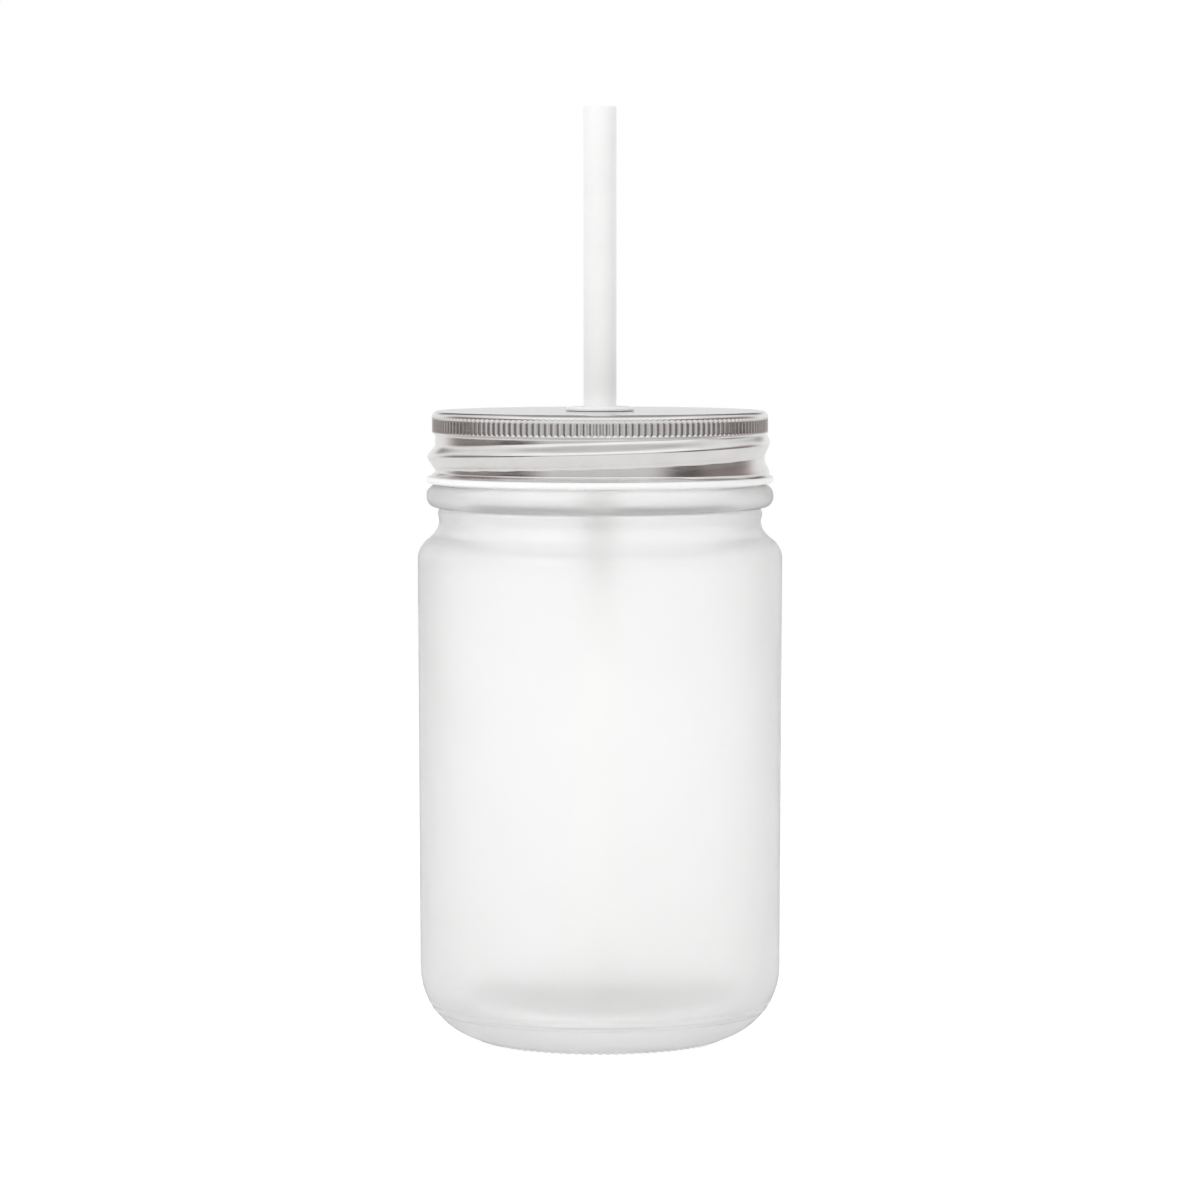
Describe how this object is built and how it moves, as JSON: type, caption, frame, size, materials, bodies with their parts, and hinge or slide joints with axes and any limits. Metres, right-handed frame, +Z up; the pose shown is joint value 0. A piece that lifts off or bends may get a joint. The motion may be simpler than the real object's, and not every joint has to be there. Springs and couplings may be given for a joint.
{
  "type": "mason jar drinking tumbler with straw",
  "caption": "Frosted glass mason jar tumbler with a one-piece knurled metal screw lid, a soft grommet in the lid's centre hole and a straight reusable straw.",
  "frame": {"origin": "centre of the ring the jar stands on, on the floor", "axes": "+Z up along the axis of the jar, lid and straw; -Y towards the picture's viewer, +X to the viewer's right"},
  "size_m": [0.0752, 0.0752, 0.1923],
  "materials": {
    "frosted_glass": "satin frosted outside, clear inside",
    "lid_metal": "bright tinplate, white enamel inside and on the curled edge",
    "liner_compound": "matte white sealing compound",
    "clear_silicone": "translucent matte silicone",
    "straw_plastic": "smooth satin white"
  },
  "bodies": {
    "jar": {"glass_jar": "frosted_glass"},
    "grommet": {"straw_grommet": "clear_silicone"},
    "lid": {"screw_lid": "lid_metal", "lid_liner": "liner_compound"},
    "straw": {"straw": "straw_plastic"}
  },
  "joints": [
    {"name": "lid_lift", "type": "slide", "parent": "jar", "child": "grommet", "axis": [0, 0, 1], "range_m": [0, 0.0159]},
    {"name": "lid_turn", "type": "hinge", "parent": "grommet", "child": "lid", "pos_m": [0, 0, 0.12965], "axis": [0, 0, 1], "range_deg": [0, 900]},
    {"name": "straw_slide", "type": "slide", "parent": "grommet", "child": "straw", "axis": [0, 0, 1], "range_m": [-0.0048, 0.125]}
  ],
  "couplings": [
    {"joint": "lid_lift", "follows": "lid_turn", "m_per_rad": 0.0010106}
  ]
}
